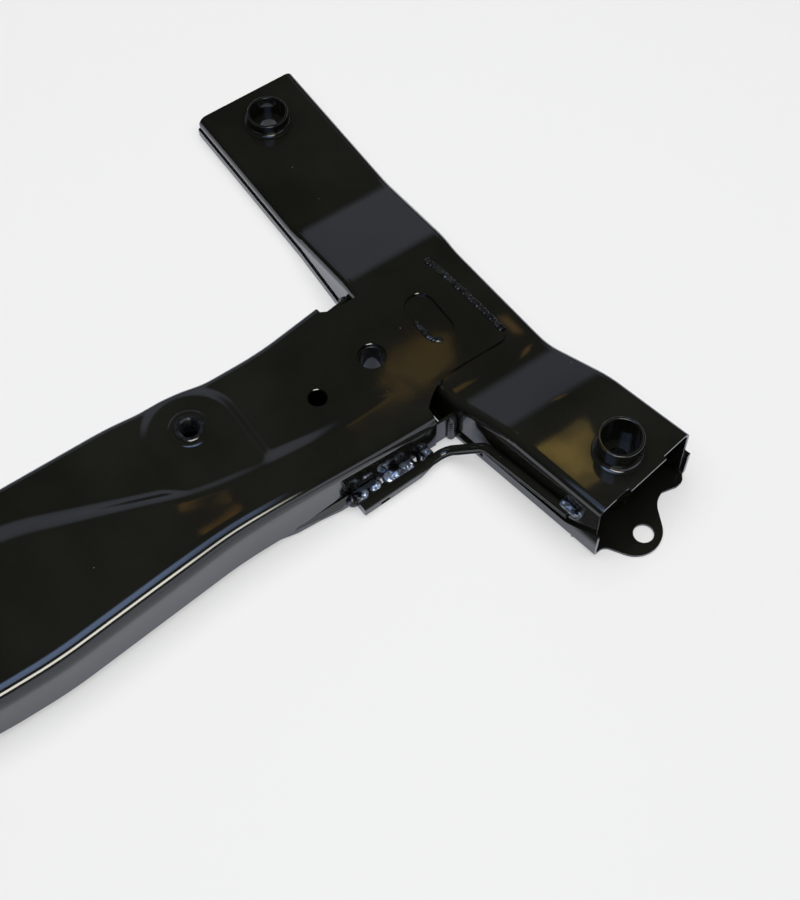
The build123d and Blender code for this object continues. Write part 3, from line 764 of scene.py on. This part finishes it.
def weldPiece(stem, side):
    look = welds[stem]
    node = stem + "_" + side
    form = cadForm(node)
    piece = pieceFrom(node + "_bead", form, look["finish"], "painted_weld", node)
    remesh = piece.modifiers.new("refine", "REMESH")
    remesh.mode = "VOXEL"
    remesh.voxel_size = look["voxel"] * mm
    bpy.context.view_layer.update()
    shaped = bpy.data.meshes.new_from_object(piece.evaluated_get(bpy.context.evaluated_depsgraph_get()))
    piece.modifiers.clear()
    piece.data = shaped
    piece.data.materials.clear()
    piece.data.materials.append(look["finish"])
    form = bmesh.new()
    form.from_mesh(shaped)
    bmesh.ops.smooth_vert(form, verts=form.verts, factor=0.5,
                          use_axis_x=True, use_axis_y=True, use_axis_z=True)
    form.normal_update()
    along = Vector(look["along"])
    moves = []
    for vert in form.verts:
        place = vert.co / mm
        lean = Vector((abs(place.x), place.y, place.z))
        run = lean.dot(along)
        sway = noise.noise(lean * beadForm["swayScale"]) * beadForm["sway"]
        ripple = math.sin((run + sway) * math.tau / look["step"]) * look["ripple"]
        coarse = noise.noise(lean * beadForm["lumpScale"] + Vector(beadForm["lumpShift"]))
        fine = noise.noise(lean * beadForm["fineScale"]) * beadForm["fineShare"]
        lump = (coarse + fine) * look["lump"]
        facing = max(0.0, min(1.0, vert.normal.z * beadForm["facingGain"] + beadForm["facingLeast"]))
        moves.append((vert, vert.normal * (ripple + lump) * facing * mm))
    for vert, move in moves:
        vert.co += move
    for face in form.faces:
        face.smooth = True
    form.to_mesh(shaped)
    form.free()
    return piece


for stem in welds:
    for side in ("right", "left"):
        weldPiece(stem, side)
print("welds made")


# floor, light and camera
studio = {
    "floorTone": rgb(242, 242, 242),
    "floorGrain": rgb(238, 238, 238),
    "floorHalf": 6,
    "floorDrop": 0.4,
    "cameraShare": 0.5,
    "veil": 0.4,
    "glowReach": (0.27, 0.42),
    "shadeIn": (0.31, 0.325),
    "shadeAhead": (0.104, 0.116),
    "shadeOut": (-0.3275, -0.3225),
    "shadeLean": 0.1823,
    "shadeShare": 0.95,
    "overhead": rgb(54, 54, 48),
    "backdrop": rgb(30, 30, 30),
    "band": rgb(166, 174, 192),
    "bandHeight": ((0.08, 0.2), (0.46, 0.66)),
    "bandSide": ((-0.42, -0.22), (0.58, 0.75)),
    "bandAhead": (0.2, 0.45),
    "roomHeight": (0.1, 0.7),
    "lampAt": (300, -100, 2200),
    "lampSize": (2600, 2600),
    "lampPower": 66,
    "target": (300, -100, 41),
    "distance": 1260,
    "azimuth": -35,
    "elevation": 60,
    "lens": 72,
    "sensor": 36,
}


def paleFloor():
    form = bmesh.new()
    bmesh.ops.create_grid(form, x_segments=1, y_segments=1, size=studio["floorHalf"])
    mesh = bpy.data.meshes.new("floor")
    form.to_mesh(mesh)
    form.free()
    floor = bpy.data.objects.new("floor", mesh)
    floor.location.z = -studio["floorDrop"] * mm
    scene.collection.objects.link(floor)
    finish = Finish("paleFloor")
    grain = finish.grain(3)
    tone = finish.blend(grain * 0.2, studio["floorTone"], studio["floorGrain"])
    lit = finish.node("ShaderNodeBsdfPrincipled", None, {
        "Base Color": tone, "Roughness": 0.7 + grain * 0.1, "Specular IOR Level": 0.2})
    paper = finish.node("ShaderNodeEmission", None, {"Color": tone, "Strength": 1.0})
    seen = finish.node("ShaderNodeLightPath", out="Is Camera Ray") * studio["cameraShare"]
    page = finish.node("ShaderNodeMixShader", None, {0: seen.clamped(), 1: lit, 2: paper})
    # what the part mirrors: the lit page near it, a dim room further off, and a painted shade laid on the
    # page beside the front rails
    low, high = studio["glowReach"]
    back = finish.node("ShaderNodeSeparateXYZ", None, {"Vector": finish.place()}, out="Y")
    far = finish.node("ShaderNodeMapRange", {"interpolation_type": "SMOOTHSTEP"}, {
        "Value": back, "From Min": low, "From Max": high})
    across = finish.node("ShaderNodeSeparateXYZ", None, {"Vector": finish.place()}, out="X")
    beside = across.math("ABSOLUTE")
    shade = studio["shadeShare"]
    for value, key in ((beside, "shadeIn"), (back * -1, "shadeAhead"),
                       (0 - beside - back * studio["shadeLean"], "shadeOut")):
        low, high = studio[key]
        shade = shade * finish.node("ShaderNodeMapRange", {"interpolation_type": "SMOOTHSTEP"}, {
            "Value": value, "From Min": low, "From Max": high})
    # from here the dim share holds the painted shade beside the rails as well as the far room
    far = far.math("MAXIMUM", shade)
    veil = finish.node("ShaderNodeEmission", None, {"Color": rgb(214, 226, 255), "Strength": studio["veil"]})
    near = finish.node("ShaderNodeAddShader", None, {0: lit, 1: veil})
    dim = finish.node("ShaderNodeEmission", None, {"Color": studio["backdrop"], "Strength": 1.0})
    image = finish.node("ShaderNodeMixShader", None, {0: far, 1: near, 2: dim})
    glossy = finish.node("ShaderNodeLightPath", out="Is Glossy Ray")
    mesh.materials.append(finish.surface(finish.node("ShaderNodeMixShader", None, {
        0: glossy, 1: page, 2: image})))


def roomLight():
    # a dim room with one grey-blue band low behind the part
    finish = Finish("room", world=True)
    place = finish.node("ShaderNodeTexCoord", out="Generated")

    def slope(axis, low, high):
        value = finish.node("ShaderNodeSeparateXYZ", None, {"Vector": place}, out=axis)
        return finish.node("ShaderNodeMapRange", {"interpolation_type": "SMOOTHSTEP"}, {
            "Value": value, "From Min": low, "From Max": high})

    floorEdge, topEdge = studio["bandHeight"]
    leftEdge, rightEdge = studio["bandSide"]
    band = slope("Z", *floorEdge) * (1 - slope("Z", *topEdge))
    band = band * slope("X", *leftEdge) * (1 - slope("X", *rightEdge)) * slope("Y", *studio["bandAhead"])
    room = finish.blend(slope("Z", *studio["roomHeight"]), studio["backdrop"], studio["overhead"])
    tone = finish.blend(band, room, studio["band"])
    background = finish.node("ShaderNodeBackground", None, {"Color": tone, "Strength": 1.0})
    output = finish.tree.nodes.new("ShaderNodeOutputWorld")
    finish.tree.links.new(background.socket, output.inputs["Surface"])
    scene.world = finish.data


def aimed(item, place, aim):
    item.location = Vector(place) * mm
    item.rotation_mode = "QUATERNION"
    item.rotation_quaternion = (Vector(aim) - Vector(place)).to_track_quat("-Z", "Y")
    scene.collection.objects.link(item)
    return item


def softLamp(name, place, size, power, tone, mirrored):
    data = bpy.data.lights.new(name, "AREA")
    data.shape = "RECTANGLE"
    data.size, data.size_y = (side * mm for side in size)
    data.energy = power
    data.color = tone
    lamp = aimed(bpy.data.objects.new(name, data), place, studio["target"])
    lamp.visible_glossy = mirrored


def cameraPlace():
    a, e = math.radians(studio["azimuth"]), math.radians(studio["elevation"])
    back = Vector((math.sin(a) * math.cos(e), -math.cos(a) * math.cos(e), math.sin(e)))
    return Vector(studio["target"]) + back * studio["distance"]


# warm things overhead that the flat paint mirrors
# the patch's corners and level on the paint, and how far along the mirrored ray it hangs
warmPatches = {
    "bySleeve": {"corners": [(371, -160), (417, -158), (402, -206), (378, -206)], "level": 58, "rise": 170,
                 "tone": rgb(255, 216, 118), "strength": 2.3},
    "onLap": {"corners": [(316, -48), (352, -26), (386, -40), (372, -64), (330, -72)], "level": 44.3,
              "rise": 420, "tone": rgb(232, 190, 104), "strength": 0.85},
    "onField": {"corners": [(153, -44), (184, -58), (180, -73), (146, -58)], "level": 51, "rise": 200,
                "tone": rgb(255, 196, 96), "strength": 1.1},
    "onFieldEdge": {"corners": [(148, -79), (184, -77), (178, -87), (150, -86)], "level": 51, "rise": 200,
                    "tone": rgb(255, 196, 96), "strength": 0.95},
    "byWeld": {"corners": [(422, -48), (429, -52), (431, -72), (424, -68)], "level": 42, "rise": 160,
               "tone": rgb(255, 200, 124), "strength": 1.2},
}


def warmCard(name):
    patch = warmPatches[name]
    eye = cameraPlace()
    eye.z = 2 * patch["level"] - eye.z
    form = bmesh.new()
    ring = []
    for x, y in patch["corners"]:
        corner = Vector((x, y, patch["level"]))
        ring.append(form.verts.new((corner + (corner - eye).normalized() * patch["rise"]) * mm))
    edges = [form.edges.new(pair) for pair in zip(ring, ring[1:] + ring[:1])]
    bmesh.ops.contextual_create(form, geom=edges)
    mesh = bpy.data.meshes.new(name)
    form.to_mesh(mesh)
    form.free()
    card = bpy.data.objects.new(name, mesh)
    scene.collection.objects.link(card)
    mirrorOnly(card)
    finish = Finish(name)
    cloud = finish.ramp(finish.grain(24, 3), [(0.3, 0.0), (0.6, 1.0)])
    tone = finish.blend(cloud, studio["overhead"], patch["tone"])
    mesh.materials.append(finish.surface(finish.node("ShaderNodeEmission", None, {
        "Color": tone, "Strength": patch["strength"]})))


def mirrorOnly(card):
    for ways in ("visible_camera", "visible_diffuse", "visible_shadow", "visible_transmission"):
        setattr(card, ways, False)


# lit things that only the part's gloss shows: centre, half size, turn of the plate, colour, strength, bars
mirrored = {
    "skylight": {"at": (-20, -262, 640), "half": (420, 205), "tilt": (0, 0, 0), "tone": rgb(150, 176, 220),
                 "strength": 8.5, "bars": 7},
    "tube": {"at": (60, -466, 341), "half": (310, 62), "tilt": (50, 0, 0), "tone": rgb(255, 252, 240),
             "strength": 17.0, "bars": 0},
    "farWall": {"at": (100, -1000, 110), "half": (1500, 300), "tilt": (90, 0, 0), "tone": rgb(206, 212, 226),
                "strength": 1.9, "bars": 0},
}


def mirroredCard(name):
    look = mirrored[name]
    form = bmesh.new()
    bmesh.ops.create_grid(form, x_segments=1, y_segments=1, size=1)
    mesh = bpy.data.meshes.new(name)
    form.to_mesh(mesh)
    form.free()
    card = bpy.data.objects.new(name, mesh)
    card.location = Vector(look["at"]) * mm
    card.rotation_euler = [math.radians(angle) for angle in look["tilt"]]
    card.scale = (look["half"][0] * mm, look["half"][1] * mm, mm)
    scene.collection.objects.link(card)
    mirrorOnly(card)
    finish = Finish(name)
    place = finish.place()
    mask = None
    for axis in ("X", "Y"):
        value = finish.node("ShaderNodeSeparateXYZ", None, {"Vector": place}, out=axis)
        side = finish.ramp(value.math("ABSOLUTE"), [(0.6, 1.0), (1.0, 0.0)])
        mask = side if mask is None else mask * side
    if look["bars"]:
        across = finish.node("ShaderNodeSeparateXYZ", None, {"Vector": place}, out="Y")
        bars = finish.grain(look["bars"], 1, 0.5, finish.node("ShaderNodeCombineXYZ", None, {"Y": across}))
        mask = mask * finish.ramp(bars, [(0.4, 0.25), (0.6, 1.0)])
    glow = finish.node("ShaderNodeEmission", None, {"Color": look["tone"], "Strength": look["strength"]})
    clear = finish.node("ShaderNodeBsdfTransparent")
    mesh.materials.append(finish.surface(finish.node("ShaderNodeMixShader", None, {
        0: mask, 1: clear, 2: glow})))


def photoCamera():
    data = bpy.data.cameras.new("photoCamera")
    data.lens = studio["lens"]
    data.sensor_width = studio["sensor"]
    scene.camera = aimed(bpy.data.objects.new("photoCamera", data), cameraPlace(), studio["target"])


paleFloor()
roomLight()
softLamp("topLamp", studio["lampAt"], studio["lampSize"], studio["lampPower"], (1, 1, 1), False)
for name in mirrored:
    mirroredCard(name)
for name in warmPatches:
    warmCard(name)
photoCamera()
scene.view_settings.view_transform = "Standard"
print("stage set")
